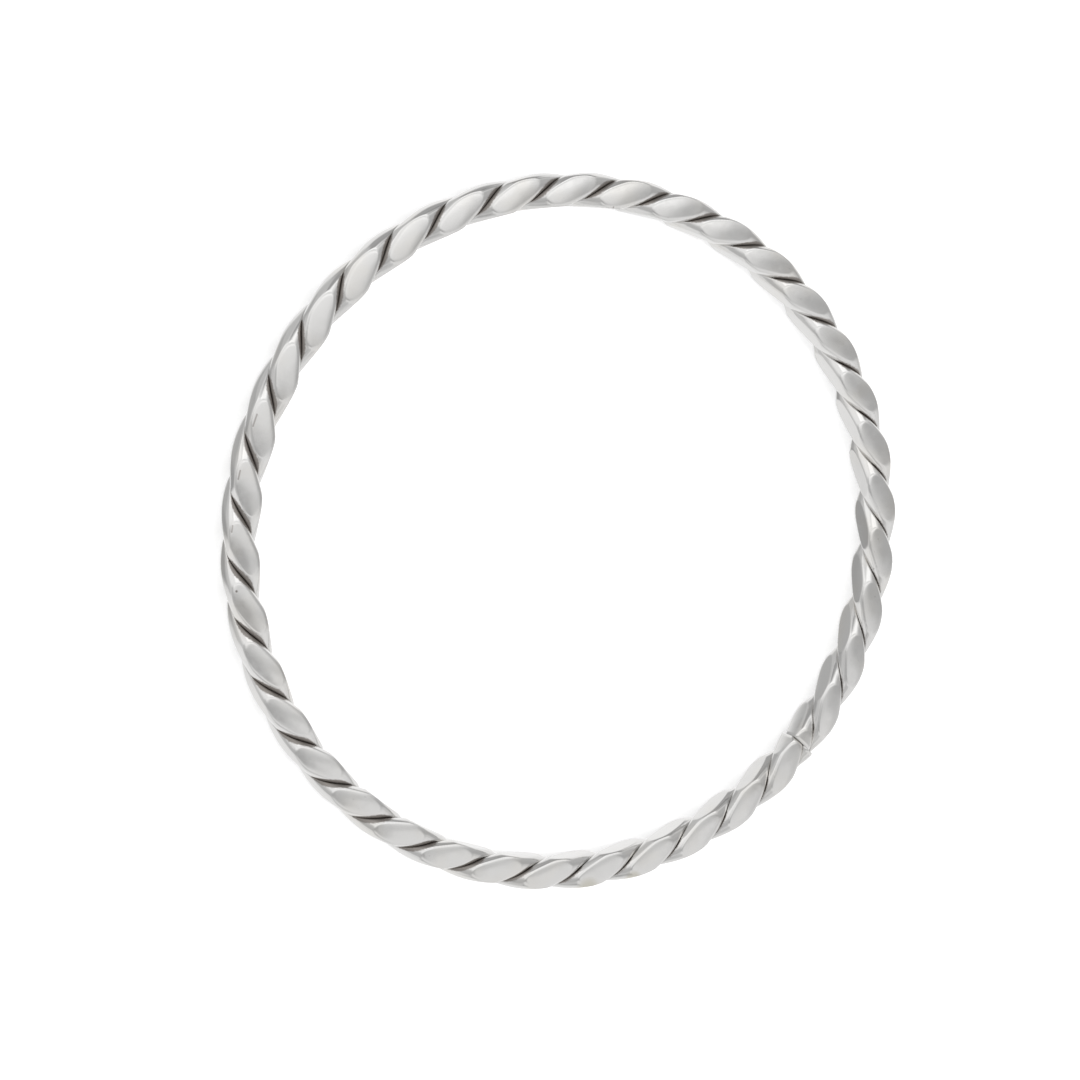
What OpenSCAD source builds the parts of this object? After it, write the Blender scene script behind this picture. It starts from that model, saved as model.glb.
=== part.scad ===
// Twisted wire bangle. Two round silver wires are twisted together, the pair is pressed square, bent
// into a round ring and soldered end to end. The ring lies flat, its axis along +Z, and the origin is
// the middle of the ring on the surface that it lies on.

/* [Ring] */
// Clear width of the wrist opening, between the inner faces of the rope
opening_d = 65.2; // [50:0.1:80]
// Width of the squared rope across the ring, from its inner face to its outer face
rope_w = 3.44; // [2.8:0.02:4.2]
// Height of the squared rope, along the axis of the ring
rope_h = 3.44; // [2.8:0.02:4.2]

/* [Wires] */
// Diameter of the round that each wire keeps where nothing presses on it, cut straight across the rope
wire_d = 2.92; // [2.4:0.02:3.6]
// Distance of that round's middle from the middle of the rope
wire_offset = 0.8; // [0.6:0.02:1.1]
// Gap between the flats where the two wires press on each other
wire_gap = 0.04; // [0.02:0.01:0.1]
// Width of the edge that is worn round beside the crevice between the wires
lip_round = 0.12; // [0.04:0.01:0.3]

/* [Twist] */
// Half turns of the pair, from one side of the seam all the way round to the other
half_turns = 37.3; // [24:0.1:44]
// Turn of the pair where it starts at the seam, up from the outward direction
start_turn = -48.8; // [-180:0.2:180]
// How far the hand-made twist runs ahead and behind, once round the ring
swing_once = 15.2; // [0:0.2:30]
// Where round the ring, counted from the seam, that swing begins
swing_once_at = 48.8; // [0:0.2:360]
// How far the twist runs ahead and behind, twice round the ring
swing_twice = -10.3; // [-20:0.1:20]

/* [Seam] */
// Place of the soldered seam, counter-clockwise from +X
seam_at = -42; // [-180:0.5:180]
// Gap between the two wires' ends at the seam, which the solder fills as a hairline
seam_gap = 0.03; // [0.01:0.01:0.1]

/* [Hidden] */
ring_r = opening_d/2 + rope_w/2;
half_w = rope_w/2;
half_h = rope_h/2;
wire_r = wire_d/2;
// Distance from a wire's middle to its flat, where it presses on its neighbour
flat_at = wire_offset - wire_gap/2;
// How sharply the round of the wire turns into that flat: high for a small worn edge
lip_power = ln(2)/ln(wire_r/(wire_r - lip_round));
end_turn = start_turn + half_turns*180;
// The seam's gap as an angle at the middle of the rope
seam_gap_angle = seam_gap/ring_r*180/PI;
// Step of the twist from one outline to the next, and of the points on an outline. They are the same,
// and a share of a right angle, so that points line up along the wires and along the pressed faces.
step = 22.5;
// Least share of a step between two outlines, where the twist starts and ends between whole steps
least_share = 0.25;
// Points either side of the way that a wire faces. They reach three eighths of the way round, where
// the last one lies on the wire's flat.
side_points = floor(3/8*360/step);
wire_sides = 2*side_points + 1;

// How far the hand-made twist is ahead at an angle counted from the seam
function swing(angle) =
    swing_once*(sin(angle + swing_once_at) - sin(swing_once_at)) + swing_twice*sin(2*angle);

// Angle from the seam at which the pair has reached a turn, by closing in on it a few times
function angle_at(turn, guess = 0, rounds = 5) =
    rounds == 0 ? guess : angle_at(turn, (turn - start_turn - swing(guess))*2/half_turns, rounds - 1);

// Reach of the wire from its own middle in a direction counted from the way that the wire faces:
// round, but flat on its neighbour's side, with a worn edge between the two
function wire_reach(away) =
    let (toward_flat = max(0, -cos(away)))
    pow(pow(1/wire_r, lip_power) + pow(toward_flat/flat_at, lip_power), -1/lip_power);

// Reach from a point inside the rope to one pair of its pressed faces
function face_reach(half_size, from, direction) =
    direction > 0 ? (half_size - from)/max(direction, 1e-9) : (half_size + from)/max(-direction, 1e-9);

// One point of a wire's outline, outward and upward from the middle of the rope
function outline_point(turn, away) =
    let (
        middle = wire_offset*[cos(turn), sin(turn)],
        direction = [cos(turn + away), sin(turn + away)],
        reach = min(
            wire_reach(away),
            face_reach(half_w, middle.x, direction.x),
            face_reach(half_h, middle.y, direction.y)
        )
    )
    middle + reach*direction;

// The same point in space, at a place round the ring
function ring_point(flat, at) =
    [(ring_r + flat.x)*cos(at), (ring_r + flat.x)*sin(at), half_h + flat.y];

// One wire, swept once round from the seam to the seam. Its outline turns with the twist.
module strand(turn_ahead) {
    first_whole = ceil(start_turn/step + least_share)*step;
    last_whole = end_turn - least_share*step;
    turns = [start_turn, for (turn = [first_whole:step:last_whole]) turn, end_turn];
    count = len(turns);
    points = [
        for (turn = turns)
            let (angle = seam_gap_angle/2 + angle_at(turn)*(1 - seam_gap_angle/360))
            for (k = [-side_points:side_points])
                ring_point(outline_point(turn + turn_ahead, k*step), seam_at + angle)
    ];
    sides = [
        for (i = [0:count - 2], k = [0:wire_sides - 1])
            let (
                here = i*wire_sides + k,
                beside = i*wire_sides + (k + 1)%wire_sides,
                ahead = here + wire_sides,
                ahead_beside = beside + wire_sides
            )
            // A patch is split along the rope, so that its edges follow the pressed faces. One on the
            // flat is split the other way, so that the two wires stay clear.
            each k == wire_sides - 1
                ? [[here, beside, ahead_beside], [here, ahead_beside, ahead]]
                : [[here, beside, ahead], [beside, ahead_beside, ahead]]
    ];
    start_cap = [for (k = [wire_sides - 1:-1:0]) k];
    end_cap = [for (k = [0:wire_sides - 1]) (count - 1)*wire_sides + k];
    polyhedron(points, concat(sides, [start_cap, end_cap]));
}

module strand_a() {
    color("silver") strand(0);
}

module strand_b() {
    color("gainsboro") strand(180);
}

strand_a();
strand_b();
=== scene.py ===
# A twisted wire bangle, lying flat. Two round silver wires are twisted together, pressed square and
# bent into a ring, and they are modelled here in that order. Lengths are in metres, angles in degrees.
import math

import bpy
from mathutils import Matrix, Vector


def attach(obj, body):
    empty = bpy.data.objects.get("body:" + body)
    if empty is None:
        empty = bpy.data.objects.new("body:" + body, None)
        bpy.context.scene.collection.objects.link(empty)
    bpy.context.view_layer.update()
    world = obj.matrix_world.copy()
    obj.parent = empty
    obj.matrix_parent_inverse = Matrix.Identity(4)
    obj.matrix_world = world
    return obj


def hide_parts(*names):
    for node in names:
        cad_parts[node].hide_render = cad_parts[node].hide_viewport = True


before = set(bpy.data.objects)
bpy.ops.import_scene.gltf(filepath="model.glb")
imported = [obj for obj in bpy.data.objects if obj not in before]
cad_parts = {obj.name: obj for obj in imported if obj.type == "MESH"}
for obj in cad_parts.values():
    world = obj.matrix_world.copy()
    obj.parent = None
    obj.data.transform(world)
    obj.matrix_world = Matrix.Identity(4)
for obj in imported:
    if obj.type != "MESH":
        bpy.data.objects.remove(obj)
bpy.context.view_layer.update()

MM = 0.001

# Ring and rope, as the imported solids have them
OPENING_D = 65.2*MM
ROPE_W = 3.44*MM
ROPE_H = 3.44*MM
RING_R = OPENING_D/2 + ROPE_W/2

# One wire's round, its place in the rope and its flat on the other wire, and how far from an edge of
# the flat, and how often, that edge is rubbed
WIRE_R = 1.56*MM
WIRE_OFFSET = 0.75*MM
WIRE_GAP = 0.01*MM
LIP_REACH = 0.5*MM
LIP_RUBS = 4

# Soldered seam, counter-clockwise from +X, and what filing leaves of a wire's width at its end and one
# ring of points further in
SEAM_AT = -42.0
SEAM_GAP = 0.004*MM
SEAM_ROUNDING = (0.95, 0.985)
WIRE_LENGTH = 2*math.pi*RING_R - SEAM_GAP
FULL_BEND = 360*WIRE_LENGTH/(2*math.pi*RING_R)

# Fineness of a wire's mesh: sides, cuts across the flat, and cuts along the wire, in two rounds
WIRE_SIDES = 52
FLAT_CUTS = 13
RING_CUTS = (17, 99)
RINGS = (RING_CUTS[0] + 1)*(RING_CUTS[1] + 1)
RING_STEP = WIRE_LENGTH/RINGS
# An edge that turns by more than this is shaded sharp
SHARP_OVER = 60
# Nearest that a cut leaves two points, and how far off a plane a point still counts as on it
CUT_MERGE = 1e-8
ON_PLANE = 2e-6

# Twist, counted from the seam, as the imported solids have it, and the stretches it is made in
HALF_TURNS = 37.3
START_TURN = -48.8
SWING_ONCE = 15.2
SWING_ONCE_AT = 48.8
SWING_TWICE = -10.3
STRETCHES = 24

# Share that bending leaves the rope higher on its inner side, and lower on its outer side
INNER_SWELL = 0.06

# What the press leaves of a wire's round: little inside, above and below, more on the outer side
CROWN_SHARE = 0.09
OUTER_CROWN_SHARE = 0.42
# How often the pressed edges are rubbed round
EDGE_RUBS = 1

# Tarnish that polishing doesn't reach, with painted shade in the crevice beside the flat: how far out
# from the flat it is full and how far it reaches on a wire's side, and how uneven its edge is, in mm
TARNISH_AND_SHADE_FULL = 0.30
TARNISH_AND_SHADE_REACH = 0.52
TARNISH_AND_SHADE_UNEVEN = 0.06
# It widens from nothing, and narrows to nothing again, over these degrees round the rope, counted
# from the rope's outer side
TARNISH_AND_SHADE_WIDENS = (15, 60)
TARNISH_AND_SHADE_NARROWS = (105, 150)
# Painted shade: the crevice darkening is narrower on the side of the ring that lies in the first
# direction, and wider in the second: from where to where, and by how many mm
PAINTED_SHADE_NARROWS_TO = (0.82, -0.57, 0)
PAINTED_SHADE_NARROWS_FROM = 5*MM
PAINTED_SHADE_NARROWS_MOST = 30*MM
PAINTED_SHADE_NARROWER = 0.31
PAINTED_SHADE_WIDENS_TO = (-0.87, -0.5, 0)
PAINTED_SHADE_WIDENS_FROM = 18*MM
PAINTED_SHADE_WIDENS_MOST = 34*MM
PAINTED_SHADE_WIDER = 0.12
# The solder was cleaned bright so far on both sides of the seam, in mm, and the tarnish and painted shade
# stop there
SEAM_CLEAN = 1.5
SEAM_CLEAN_END = 2.2

# Finishes scattered over the silver: grains a millimetre, and the noise where each starts and is full
SPECKLES = (6, 0.3, 0.7)
WARM_CLOUDS = (0.25, 0.45, 0.7)
PITS = (2.2, 0.78, 0.85)
SMEARS = (0.6, 0.3, 0.75)
# How dark a pit or a streak is, beside full tarnish and painted shade
PIT_DARK = 0.6
# Grains a millimetre of the hair scratches and the dimples from the polishing wheel, the scratches'
# share of the depth, and the depth
SCRATCH_GRAIN = 8
DIMPLE_GRAIN = 1.2
SCRATCH_SHARE = 0.3
RELIEF_DEPTH = 0.01*MM
RELIEF_STRENGTH = 0.25
# How rough the silver is where it is polished and where it is smeared, and how much more with tarnish and
# painted shade
POLISHED_ROUGH = 0.09
SMEARED_ROUGH = 0.2
TARNISH_AND_SHADE_ROUGHER = 0.3

# Yellowed spots and a deep pit, each with how far it reaches from its place
YELLOWED = (((1.2*MM, -35.9*MM, 3.1*MM), 1.5*MM), ((6.2*MM, -35.2*MM, 3.1*MM), 1.0*MM))
DEEP_PIT = ((-35.0*MM, -3.9*MM, 3.4*MM), 0.16*MM)
# Dark streaks beside three top faces, each from one place to another, and how far they reach
STREAKS = (((-32.8*MM, 12.9*MM, 3.4*MM), (-33.2*MM, 11.8*MM, 3.4*MM)),
           ((-34.5*MM, 7.6*MM, 3.4*MM), (-34.7*MM, 6.8*MM, 3.4*MM)),
           ((-35.3*MM, 2.4*MM, 3.38*MM), (-35.4*MM, 1.8*MM, 3.38*MM)))
STREAK_REACH = 0.12*MM
# Share of a spot's or a streak's reach where it is full
FULL_SHARE = 0.4

# Colours of the silver, and of what lies on it, where the tarnish colour also paints shade in the crevices
SILVER = (0.80, 0.793, 0.783, 1)
WARM_SILVER = (0.80, 0.785, 0.76, 1)
YELLOWED_SILVER = (0.67, 0.65, 0.59, 1)
# Tarnish, and the painted shade in the crevices, take this colour
TARNISH_AND_SHADE = (0.335, 0.312, 0.292, 1)

# Camera, where the photograph was taken from. The film's width and the lens are in mm.
CAMERA_TILT = 22.61
CAMERA_AZIMUTH = 163.76
CAMERA_DISTANCE = 269.3*MM
CAMERA_TARGET = Vector((-3.42*MM, -0.39*MM, ROPE_H/2))
CAMERA_LENS = 89.61
FILM_WIDTH = 36
NEAREST_SEEN = 10*MM

# Pale floor, which glows a little itself, so that the shadow on it stays faint
FLOOR = (0.9, 0.9, 0.9, 1)
FLOOR_SIZE = 1.6
FLOOR_ROUGH = 0.9
FLOOR_GLOW = 0.47

# The lamp from the right lights the floor, and is kept out of the silver's reflections
LAMP_AZIMUTH = -14
LAMP_TILT = 20
LAMP_SPREAD = 20
LAMP_POWER = 1.0

# Tent round the bangle, as the silver mirrors it: a grey sheet with lighter and darker boards on it,
# and a paler sheet below. A board lies between two places across (+X) and two along (+Y), where 1 is
# the horizon and 0 is overhead, and then come the softness of its edge and how much lighter it is.
TENT_SHEET = 0.65
TENT_BOARDS = {
    "lamp_overhead": (-0.30, 0.43, 0.03, 0.27, 0.12, 0.33),
    "lamp_heart": (0.12, 0.40, 0.07, 0.18, 0.06, 0.18),
    "lamp_spill": (0.40, 0.54, 0.04, 0.42, 0.08, 0.12),
    "lamp_edge": (-0.10, 0.38, -0.08, 0.03, 0.07, 0.19),
    "camera_shadow": (-0.34, 0.25, -0.29, -0.10, 0.08, -0.20),
    "far_board": (-1.10, 0.10, 0.26, 0.75, 0.14, 0.30),
    "far_board_right": (0.10, 0.50, 0.27, 0.75, 0.10, 0.19),
    "far_lamp": (-0.04, 0.56, 0.48, 0.74, 0.18, 0.37),
    "far_left_lamp": (-0.98, -0.26, 0.56, 0.86, 0.22, 0.13),
    "far_right_glow": (0.48, 0.72, 0.34, 0.58, 0.10, 0.12),
    "far_dark": (-0.20, 0.52, 0.80, 1.20, 0.10, -0.26),
    "far_corner": (0.46, 0.72, 0.60, 1.00, 0.08, -0.24),
    "far_left": (-1.10, -0.40, 0.10, 0.26, 0.10, 0.12),
    "right_dark": (0.43, 1.10, -0.165, 0.12, 0.10, -0.18),
    "right_far_dark": (0.66, 1.10, 0.12, 0.48, 0.10, -0.14),
    "left_dark": (-0.84, -0.34, -0.36, -0.06, 0.12, -0.12),
    "left_dim": (-0.78, -0.28, -0.06, 0.12, 0.10, -0.10),
    "near_board": (0.24, 0.50, -0.80, -0.18, 0.05, 0.17),
    "near_board_left": (-0.18, 0.24, -0.80, -0.28, 0.05, 0.17),
    "near_strut": (-0.48, -0.32, -0.52, -0.30, 0.10, -0.12),
    "near_strut_end": (-0.30, 0.08, -0.80, -0.58, 0.10, -0.22),
    "near_edge": (-1.10, 1.10, -1.20, -0.84, 0.08, 0.16),
    "near_left": (-1.10, -0.46, -1.10, -0.40, 0.10, 0.20),
    "near_right": (0.50, 1.10, -1.10, -0.34, 0.12, 0.14),
    "near_right_low": (0.46, 1.10, -1.10, -0.58, 0.10, 0.07),
}
LOWER_SHEET = 0.92
LOWER_BOARDS = {
    "left_deep": (-0.80, -0.24, -0.16, 0.50, 0.10, -0.43),
    "left_deepest": (-0.90, -0.24, -0.30, 0.08, 0.16, -0.10),
    "left_shadow": (-1.20, -0.80, -0.24, 0.50, 0.10, -0.28),
    "far_left_shadow": (-0.90, -0.22, 0.50, 1.20, 0.16, -0.33),
    "far_shadow": (-0.22, 0.50, 0.74, 1.20, 0.14, -0.50),
    "right_glow": (0.08, 0.80, -0.10, 0.70, 0.20, 0.08),
}
# How far above and below the horizon the two sheets run into each other
TENT_HEM = 0.03


def deselect_all():
    if bpy.context.mode != "OBJECT":
        bpy.ops.object.mode_set(mode="OBJECT")
    bpy.ops.object.select_all(action="DESELECT")


def make_active(piece):
    deselect_all()
    piece.select_set(True)
    bpy.context.view_layer.objects.active = piece


def select_where(piece, kind, test):
    """Selects a piece's vertices or edges by their place, and stays in edit mode."""
    bpy.ops.object.mode_set(mode="EDIT")
    bpy.ops.mesh.select_mode(type=kind)
    bpy.ops.mesh.select_all(action="DESELECT")
    bpy.ops.object.mode_set(mode="OBJECT")
    mesh = piece.data
    if kind == "VERT":
        chosen = [test(v.co) for v in mesh.vertices]
        mesh.vertices.foreach_set("select", chosen)
    else:
        ends = [[mesh.vertices[i].co for i in e.vertices] for e in mesh.edges]
        mesh.edges.foreach_set("select", [test(a, b) for a, b in ends])
    bpy.ops.object.mode_set(mode="EDIT")


def note(wire, name, measure):
    """Writes a measure of each place on the wire down, for the material to read."""
    noted = wire.data.attributes.new(name, "FLOAT", "POINT")
    noted.data.foreach_set("value", [measure(v.co) for v in wire.data.vertices])


def from_outside(co):
    """How many degrees round the rope a place is from its outer side."""
    return abs(math.degrees(math.atan2(co.z, -co.y)))


def swing(angle):
    """How far the hand-made twist runs ahead at an angle counted from the seam."""
    once = math.sin(math.radians(angle + SWING_ONCE_AT)) - math.sin(math.radians(SWING_ONCE_AT))
    return SWING_ONCE*once + SWING_TWICE*math.sin(math.radians(2*angle))


def turn_at(angle):
    return START_TURN + HALF_TURNS*angle/2 + swing(angle)


def straight_wire(name):
    """A straight wire along X, above the rope's middle line, flat below where the other wire presses."""
    deselect_all()
    bpy.ops.mesh.primitive_cylinder_add(vertices=WIRE_SIDES, radius=WIRE_R, depth=WIRE_LENGTH,
                                        location=(0, 0, WIRE_OFFSET), rotation=(0, math.pi/2, 0))
    wire = bpy.context.active_object
    wire.name = wire.data.name = name
    bpy.ops.object.transform_apply(location=True, rotation=True, scale=True)
    bpy.ops.object.mode_set(mode="EDIT")
    bpy.ops.mesh.select_all(action="SELECT")
    bpy.ops.mesh.bisect(plane_co=(0, 0, WIRE_GAP/2), plane_no=(0, 0, 1), use_fill=True,
                        clear_inner=True, threshold=CUT_MERGE)

    def on_flat(a, b):
        return max(abs(a.z - WIRE_GAP/2), abs(b.z - WIRE_GAP/2)) < ON_PLANE

    def along(a, b):
        return abs(a.x - b.x) > 2*RING_STEP

    select_where(wire, "EDGE", lambda a, b: on_flat(a, b) and not along(a, b))
    bpy.ops.mesh.subdivide(number_cuts=FLAT_CUTS)
    # The two lips of the flat curl away from the other wire
    lip_y = math.sqrt(WIRE_R**2 - (WIRE_OFFSET - WIRE_GAP/2)**2)
    select_where(wire, "VERT", lambda co: math.hypot(abs(co.y) - lip_y, co.z - WIRE_GAP/2) < LIP_REACH)
    bpy.ops.mesh.vertices_smooth(factor=0.5, repeat=LIP_RUBS, xaxis=False)
    for cuts in RING_CUTS:
        select_where(wire, "EDGE", along)
        bpy.ops.mesh.subdivide(number_cuts=cuts)
    bpy.ops.object.mode_set(mode="OBJECT")
    note(wire, "from_flat", lambda co: (co.z - WIRE_GAP/2)/MM)
    note(wire, "from_seam", lambda co: (WIRE_LENGTH/2 - abs(co.x))/MM)
    return wire


def deform(wire, method, axis, degrees, limits=(0, 1)):
    shape = wire.modifiers.new(method.lower(), "SIMPLE_DEFORM")
    shape.deform_method = method
    shape.deform_axis = axis
    shape.angle = math.radians(degrees)
    shape.limits = limits
    bpy.ops.object.modifier_apply(modifier=shape.name)


def twist(wire, turn_ahead):
    """Twists the wire left-handed round the rope's middle line, a stretch at a time."""
    turns = [turn_at(360*(i + 1)/STRETCHES) - turn_at(360*i/STRETCHES) for i in range(STRETCHES)]
    # Each stretch also turns all that lies before it, by as many of its turns as it is from the middle
    turned_before = sum(turn*(i - STRETCHES/2) for i, turn in enumerate(turns))
    make_active(wire)
    # The wire faces up as it is made, which is a turn of 90
    start = START_TURN + turn_ahead - 90 - turned_before
    bpy.ops.object.mode_set(mode="EDIT")
    bpy.ops.mesh.select_all(action="SELECT")
    bpy.ops.transform.rotate(value=math.radians(start), orient_axis="X", center_override=(0, 0, 0))
    bpy.ops.object.mode_set(mode="OBJECT")
    for i, turn in enumerate(turns):
        deform(wire, "TWIST", "X", -turn, (i/STRETCHES, (i + 1)/STRETCHES))


def swell_inside(wire):
    """Makes the rope higher on the side that becomes the inner one, as bending upsets it there."""
    make_active(wire)
    shape = wire.modifiers.new("swell", "SIMPLE_DEFORM")
    shape.deform_method = "TAPER"
    shape.deform_axis = "Y"
    shape.lock_x = True
    # The modifier's factor is for the whole width of the rope before it is pressed
    shape.factor = INNER_SWELL*2*(WIRE_OFFSET + WIRE_R)/(ROPE_W/2)
    bpy.ops.object.modifier_apply(modifier=shape.name)


def press_square(wire):
    """Presses the rope's four sides flat, then rubs the edges a little round."""
    make_active(wire)
    for axis, side, half, share in ((1, -1, ROPE_W/2, OUTER_CROWN_SHARE), (1, 1, ROPE_W/2, CROWN_SHARE),
                                    (2, -1, ROPE_H/2, CROWN_SHARE), (2, 1, ROPE_H/2, CROWN_SHARE)):
        # The crown's top is left at the rope's full size
        reach = half - share*(WIRE_OFFSET + WIRE_R - half)/(1 - share)
        select_where(wire, "VERT", lambda co: co[axis]*side > reach)
        plane = [0, 0, 0]
        plane[axis] = side*reach
        flatten = [1, 1, 1]
        flatten[axis] = share
        bpy.ops.transform.resize(value=flatten, center_override=plane)
    ends = WIRE_LENGTH/2 - RING_STEP/2
    select_where(wire, "VERT", lambda co: abs(co.x) < ends)
    bpy.ops.mesh.vertices_smooth(factor=0.5, repeat=EDGE_RUBS)
    bpy.ops.object.mode_set(mode="OBJECT")


def round_ends(wire):
    """Files the wire's two ends rounder, a ring of points at a time, where the solder joins them."""
    make_active(wire)
    for i, share in enumerate(SEAM_ROUNDING):
        ring = WIRE_LENGTH/2 - i*RING_STEP
        select_where(wire, "VERT", lambda co: abs(abs(co.x) - ring) < RING_STEP/2)
        bpy.ops.transform.resize(value=(1, share, share), center_override=(0, 0, 0))
    bpy.ops.object.mode_set(mode="OBJECT")


def bend_round(wire):
    """Bends the wire into its ring, with the seam in its place and the underside on the floor."""
    make_active(wire)
    deform(wire, "BEND", "Z", FULL_BEND)
    bpy.ops.object.mode_set(mode="EDIT")
    bpy.ops.mesh.select_all(action="SELECT")
    bpy.ops.transform.translate(value=(0, -RING_R, ROPE_H/2))
    bpy.ops.transform.rotate(value=-math.radians(SEAM_AT - 90), orient_axis="Z", center_override=(0, 0, 0))
    bpy.ops.object.mode_set(mode="OBJECT")
    bpy.ops.object.shade_smooth_by_angle(angle=math.radians(SHARP_OVER))


def link(tree, out_socket, in_socket):
    tree.links.new(out_socket, in_socket)


def node(tree, kind, **settings):
    made = tree.nodes.new(kind)
    for name, value in settings.items():
        setattr(made, name, value)
    return made


def maths(tree, operation, first, second=None):
    """One sum on sockets or plain numbers."""
    made = node(tree, "ShaderNodeMath", operation=operation)
    for socket, value in zip(made.inputs, (first, second)):
        if isinstance(value, bpy.types.NodeSocket):
            link(tree, value, socket)
        elif value is not None:
            socket.default_value = value
    return made.outputs[0]


def ramp(tree, value, low, high, low_to=0, high_to=1):
    """Runs from one number to another while a value runs from low to high."""
    made = node(tree, "ShaderNodeMapRange", interpolation_type="SMOOTHSTEP")
    link(tree, value, made.inputs["Value"])
    for name, number in (("From Min", low), ("From Max", high), ("To Min", low_to), ("To Max", high_to)):
        made.inputs[name].default_value = number
    return made.outputs["Result"]


def grain(tree, place, per_mm, detail=2, roughness=0.5):
    """Noise with so many grains a millimetre."""
    made = node(tree, "ShaderNodeTexNoise")
    link(tree, place, made.inputs["Vector"])
    made.inputs["Scale"].default_value = per_mm/MM
    made.inputs["Detail"].default_value = detail
    made.inputs["Roughness"].default_value = roughness
    return made.outputs["Fac"]


def scattered(tree, place, finish, low_to=0, high_to=1, detail=2, roughness=0.5):
    """A finish where its grain is strong."""
    per_mm, start, full = finish
    return ramp(tree, grain(tree, place, per_mm, detail, roughness), start, full, low_to, high_to)


def spot(tree, place, middle, reach):
    """A soft round spot."""
    away = node(tree, "ShaderNodeVectorMath", operation="DISTANCE")
    link(tree, place, away.inputs[0])
    away.inputs[1].default_value = middle
    return ramp(tree, away.outputs["Value"], FULL_SHARE*reach, reach, 1, 0)


def streak(tree, place, start, end):
    """A soft short line, by the distance to its nearest point."""
    along = Vector(end) - Vector(start)
    from_start = node(tree, "ShaderNodeVectorMath", operation="SUBTRACT")
    link(tree, place, from_start.inputs[0])
    from_start.inputs[1].default_value = start
    share = node(tree, "ShaderNodeVectorMath", operation="DOT_PRODUCT")
    link(tree, from_start.outputs[0], share.inputs[0])
    share.inputs[1].default_value = along/along.length_squared
    nearest = node(tree, "ShaderNodeVectorMath", operation="SCALE")
    nearest.inputs[0].default_value = along
    part_way = maths(tree, "MINIMUM", maths(tree, "MAXIMUM", share.outputs["Value"], 0), 1)
    link(tree, part_way, nearest.inputs["Scale"])
    away = node(tree, "ShaderNodeVectorMath", operation="DISTANCE")
    link(tree, from_start.outputs[0], away.inputs[0])
    link(tree, nearest.outputs[0], away.inputs[1])
    return ramp(tree, away.outputs["Value"], FULL_SHARE*STREAK_REACH, STREAK_REACH, PIT_DARK, 0)


def blend(tree, share, first, second):
    made = node(tree, "ShaderNodeMix", data_type="RGBA")
    link(tree, share, made.inputs["Factor"])
    for socket, value in (("A", first), ("B", second)):
        if isinstance(value, bpy.types.NodeSocket):
            link(tree, value, made.inputs[socket])
        else:
            made.inputs[socket].default_value = value
    return made.outputs["Result"]


def measure_of(tree, name):
    """What was noted of each place on the wire."""
    return node(tree, "ShaderNodeAttribute", attribute_name=name).outputs["Fac"]


def tarnish_and_shade_in_crevices(tree, place):
    """Tarnish and painted shade beside the flat, with an uneven edge and pointed ends, and none at the
    seam.
    """
    speckles = scattered(tree, place, SPECKLES, -TARNISH_AND_SHADE_UNEVEN, TARNISH_AND_SHADE_UNEVEN, detail=3, roughness=0.6)
    from_edge = maths(tree, "ADD", measure_of(tree, "from_flat"), speckles)
    round_rope = measure_of(tree, "from_outside")
    for degrees, ends in ((TARNISH_AND_SHADE_WIDENS, (TARNISH_AND_SHADE_REACH, 0)), (TARNISH_AND_SHADE_NARROWS, (0, TARNISH_AND_SHADE_REACH))):
        from_edge = maths(tree, "ADD", from_edge, ramp(tree, round_rope, *degrees, *ends))
    # Painted shade: the darkening narrows on one side of the ring and widens on the other
    for direction, start, most, narrower in (
            (PAINTED_SHADE_NARROWS_TO, PAINTED_SHADE_NARROWS_FROM, PAINTED_SHADE_NARROWS_MOST, PAINTED_SHADE_NARROWER),
            (PAINTED_SHADE_WIDENS_TO, PAINTED_SHADE_WIDENS_FROM, PAINTED_SHADE_WIDENS_MOST, -PAINTED_SHADE_WIDER)):
        towards = node(tree, "ShaderNodeVectorMath", operation="DOT_PRODUCT")
        link(tree, place, towards.inputs[0])
        towards.inputs[1].default_value = direction
        shade_by_side = ramp(tree, towards.outputs["Value"], start, most, 0, narrower)
        from_edge = maths(tree, "ADD", from_edge, shade_by_side)
    return maths(tree, "MULTIPLY", ramp(tree, from_edge, TARNISH_AND_SHADE_FULL, TARNISH_AND_SHADE_REACH, 1, 0),
                 ramp(tree, measure_of(tree, "from_seam"), SEAM_CLEAN, SEAM_CLEAN_END))


def pits_and_streaks(tree, place):
    """What the polish left in the silver."""
    pits = scattered(tree, place, PITS, 0, PIT_DARK, detail=1)
    pits = maths(tree, "MAXIMUM", pits, spot(tree, place, *DEEP_PIT))
    for start, end in STREAKS:
        pits = maths(tree, "MAXIMUM", pits, streak(tree, place, start, end))
    return pits


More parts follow.
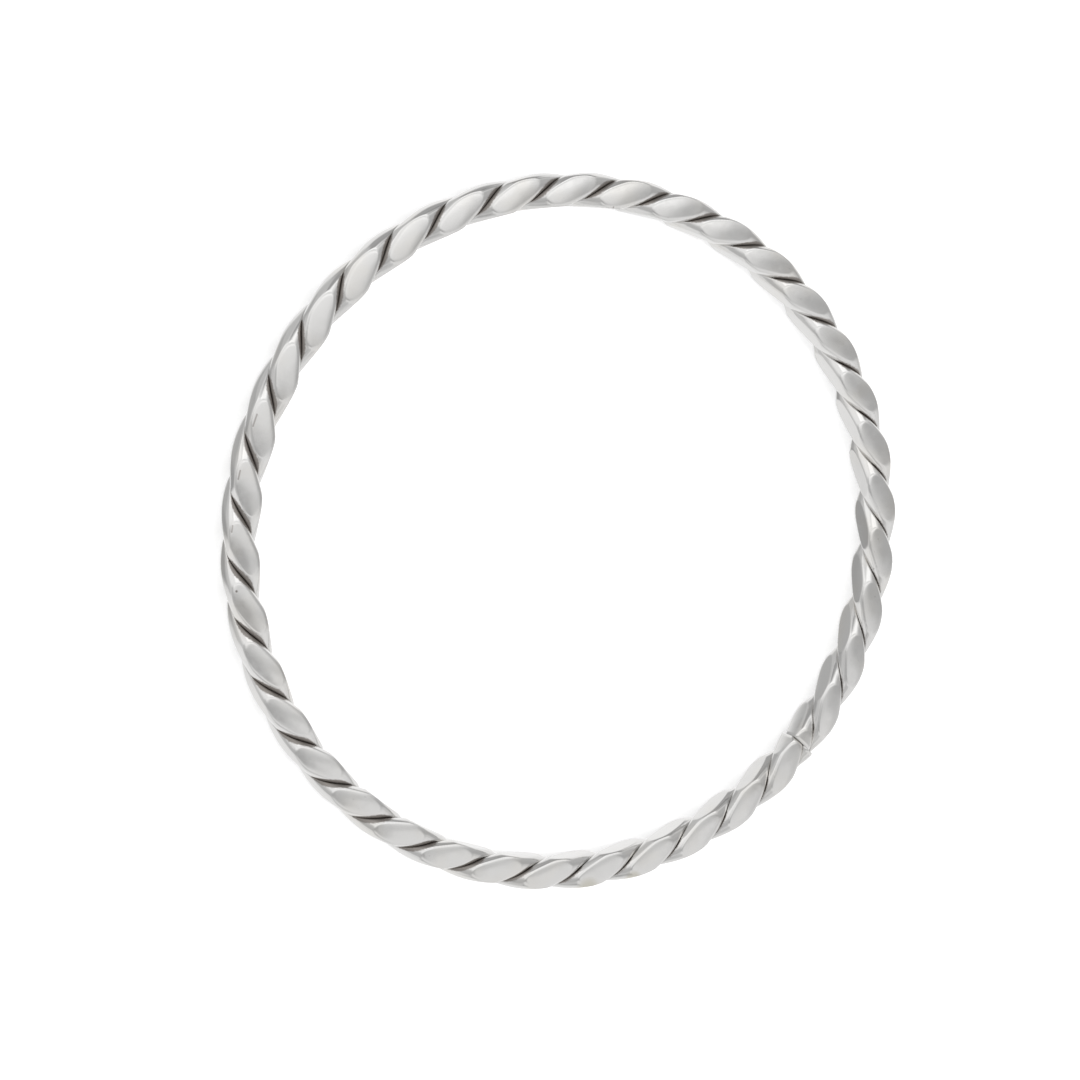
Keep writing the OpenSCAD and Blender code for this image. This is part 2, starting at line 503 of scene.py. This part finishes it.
def polished_silver():
    material = bpy.data.materials.new("polished_silver")
    material.use_nodes = True
    tree = material.node_tree
    shader = tree.nodes["Principled BSDF"]
    shader.inputs["Metallic"].default_value = 1.0
    place = node(tree, "ShaderNodeTexCoord").outputs["Object"]
    tarnish_and_shade = tarnish_and_shade_in_crevices(tree, place)
    pits = pits_and_streaks(tree, place)
    # Clouds of warmer silver, then the yellowed spots, then what is dark: tarnish with painted shade, pits
    # and streaks
    silver = blend(tree, scattered(tree, place, WARM_CLOUDS), SILVER, WARM_SILVER)
    for middle, reach in YELLOWED:
        silver = blend(tree, spot(tree, place, middle, reach), silver, YELLOWED_SILVER)
    # Tarnish with painted shade in the crevices, pits and streaks darken the silver here
    silver = blend(tree, maths(tree, "MAXIMUM", tarnish_and_shade, pits), silver, TARNISH_AND_SHADE)
    link(tree, silver, shader.inputs["Base Color"])
    smears = scattered(tree, place, SMEARS, POLISHED_ROUGH, SMEARED_ROUGH, detail=4, roughness=0.65)
    rougher = maths(tree, "MULTIPLY", tarnish_and_shade, TARNISH_AND_SHADE_ROUGHER)
    link(tree, maths(tree, "ADD", smears, rougher), shader.inputs["Roughness"])
    # Hair scratches and dimples from the polishing wheel
    scratches = maths(tree, "MULTIPLY", grain(tree, place, SCRATCH_GRAIN, detail=3), SCRATCH_SHARE)
    relief = maths(tree, "ADD", scratches, grain(tree, place, DIMPLE_GRAIN, detail=1))
    bump = node(tree, "ShaderNodeBump")
    bump.inputs["Strength"].default_value = RELIEF_STRENGTH
    bump.inputs["Distance"].default_value = RELIEF_DEPTH
    link(tree, maths(tree, "SUBTRACT", relief, pits), bump.inputs["Height"])
    link(tree, bump.outputs["Normal"], shader.inputs["Normal"])
    return material


def make_wire(name, strand, turn_ahead, material):
    wire = straight_wire(name)
    twist(wire, turn_ahead)
    note(wire, "from_outside", from_outside)
    swell_inside(wire)
    press_square(wire)
    round_ends(wire)
    bend_round(wire)
    wire.data.materials.clear()
    wire.data.materials.append(material)
    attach(wire, "root")
    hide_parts(strand)


def towards_sky(azimuth, tilt):
    """The direction at an azimuth from +X, and so far off vertical."""
    azimuth, tilt = math.radians(azimuth), math.radians(tilt)
    return Vector((math.sin(tilt)*math.cos(azimuth), math.sin(tilt)*math.sin(azimuth), math.cos(tilt)))


def with_boards(tree, parts, light, boards):
    """A sheet of the tent with its boards, by the direction's parts."""
    for x_from, x_to, y_from, y_to, softness, lighter in boards.values():
        share = None
        for axis, low, high in (("X", x_from, x_to), ("Y", y_from, y_to)):
            off = maths(tree, "ABSOLUTE", maths(tree, "SUBTRACT", parts.outputs[axis], (low + high)/2))
            inside = ramp(tree, off, (high - low)/2 - softness/2, (high - low)/2 + softness/2, 1, 0)
            share = inside if share is None else maths(tree, "MULTIPLY", share, inside)
        light = maths(tree, "ADD", maths(tree, "MULTIPLY", share, lighter), light)
    return light


def pale_floor():
    deselect_all()
    bpy.ops.mesh.primitive_plane_add(size=FLOOR_SIZE)
    floor = bpy.context.active_object
    floor.name = "floor"
    material = bpy.data.materials.new("pale_floor")
    material.use_nodes = True
    shader = material.node_tree.nodes["Principled BSDF"]
    shader.inputs["Base Color"].default_value = FLOOR
    shader.inputs["Roughness"].default_value = FLOOR_ROUGH
    shader.inputs["Specular IOR Level"].default_value = 0
    shader.inputs["Emission Color"].default_value = (1, 1, 1, 1)
    shader.inputs["Emission Strength"].default_value = FLOOR_GLOW
    floor.data.materials.append(material)
    # The silver mirrors the tent's lower sheet in its place, which is a shade darker
    floor.visible_glossy = False


def tent():
    """The sheets and boards round the bangle, which light it and which it mirrors."""
    world = bpy.data.worlds.new("tent")
    bpy.context.scene.world = world
    world.use_nodes = True
    tree = world.node_tree
    sky = tree.nodes["Background"]
    sky.inputs["Color"].default_value = (1, 1, 1, 1)
    parts = node(tree, "ShaderNodeSeparateXYZ")
    link(tree, node(tree, "ShaderNodeTexCoord").outputs["Generated"], parts.inputs[0])
    above = with_boards(tree, parts, TENT_SHEET, TENT_BOARDS)
    below = with_boards(tree, parts, LOWER_SHEET, LOWER_BOARDS)
    is_above = ramp(tree, parts.outputs["Z"], -TENT_HEM, TENT_HEM)
    more_above = maths(tree, "MULTIPLY", maths(tree, "SUBTRACT", above, below), is_above)
    link(tree, maths(tree, "ADD", below, more_above), sky.inputs["Strength"])


def lamp():
    bpy.ops.object.light_add(type="SUN")
    sun = bpy.context.active_object
    sun.rotation_euler = towards_sky(LAMP_AZIMUTH, LAMP_TILT).to_track_quat("Z", "Y").to_euler()
    sun.data.angle = math.radians(LAMP_SPREAD)
    sun.data.energy = LAMP_POWER
    sun.visible_glossy = False


def camera():
    place = Vector((0, 0, ROPE_H/2)) + CAMERA_DISTANCE*towards_sky(CAMERA_AZIMUTH, CAMERA_TILT)
    bpy.ops.object.camera_add(location=place)
    eye = bpy.context.active_object
    forward = (CAMERA_TARGET - place).normalized()
    right = forward.cross(Vector((0, 1, 0))).normalized()
    up = right.cross(forward)
    eye.rotation_euler = Matrix((right, up, -forward)).transposed().to_euler()
    eye.data.lens = CAMERA_LENS
    eye.data.sensor_width = FILM_WIDTH
    eye.data.clip_start = NEAREST_SEEN
    bpy.context.scene.camera = eye
    bpy.context.scene.view_settings.view_transform = "Standard"


silver = polished_silver()
make_wire("wire_a", "strand_a", 0, silver)
make_wire("wire_b", "strand_b", 180, silver)
pale_floor()
tent()
lamp()
camera()
